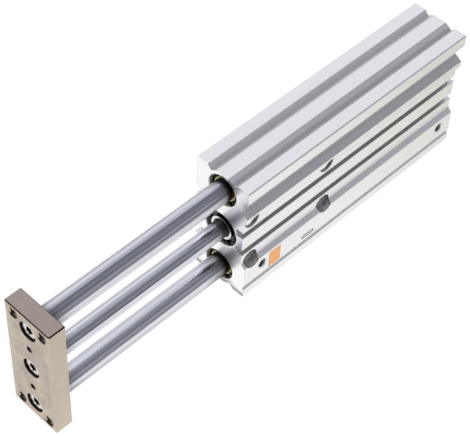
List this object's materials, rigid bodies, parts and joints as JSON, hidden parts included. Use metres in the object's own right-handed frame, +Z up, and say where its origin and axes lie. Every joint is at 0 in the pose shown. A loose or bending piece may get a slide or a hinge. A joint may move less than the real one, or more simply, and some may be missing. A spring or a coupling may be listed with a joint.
{
  "type": "guided pneumatic cylinder",
  "caption": "Compact guided air cylinder: a flat extruded body with a piston rod between two guide rods that carry an end plate.",
  "frame": {"origin": "centre of the flat crown on the underside of the body, mid way along the body", "axes": "+X along the rods towards the end plate, +Y out of the broad face with the ports, +Z up through the three bore axes"},
  "size_m": [0.2335, 0.029, 0.064],
  "materials": {
    "body_aluminium": "satin clear-anodised extrusion with machined ends",
    "dark_aluminium": "dark anodised, turned",
    "black_rubber": "smooth nitrile rubber",
    "seal_rubber": "smooth black seal rubber",
    "bronze": "sintered bronze, satin",
    "ring_steel": "dark phosphated spring steel",
    "dark_spring_steel": "phosphated spring steel",
    "plug_steel": "dark plated steel",
    "plated_plate": "warm grey nickel-plated steel, ground flat",
    "hard_chrome": "polished hard chrome",
    "screw_steel": "bright nickel-plated socket screw",
    "piston_aluminium": "turned aluminium",
    "magnet_black": "bonded ferrite",
    "bumper_rubber": "soft urethane"
  },
  "bodies": {
    "cylinder_body": {"body_block": "body_aluminium", "rod_cover": "dark_aluminium", "rod_cover_gasket": "black_rubber", "rod_bush": "bronze", "rod_seal": "seal_rubber", "front_retaining_ring": "ring_steel", "head_cover": "dark_aluminium", "head_cover_gasket": "black_rubber", "rear_retaining_ring": "ring_steel", "upper_front_bush": "bronze", "upper_rear_bush": "bronze", "lower_front_bush": "bronze", "lower_rear_bush": "bronze", "upper_wiper": "seal_rubber", "lower_wiper": "seal_rubber", "upper_scraper": "bronze", "lower_scraper": "bronze", "upper_wiper_ring": "dark_spring_steel", "lower_wiper_ring": "dark_spring_steel", "port_plugs": "plug_steel"},
    "carriage": {"end_plate": "plated_plate", "piston_rod": "hard_chrome", "upper_guide_rod": "hard_chrome", "lower_guide_rod": "hard_chrome", "piston_rod_screw": "screw_steel", "upper_guide_screw": "screw_steel", "lower_guide_screw": "screw_steel", "piston": "piston_aluminium", "piston_seal": "seal_rubber", "magnet": "magnet_black", "magnet_holder": "piston_aluminium", "rod_end_bumper": "bumper_rubber", "head_end_bumper": "bumper_rubber"}
  },
  "joints": [
    {"name": "carriage_slide", "type": "slide", "parent": "cylinder_body", "child": "carriage", "axis": [1, 0, 0], "range_m": [-0.0875, 0.0125]}
  ]
}
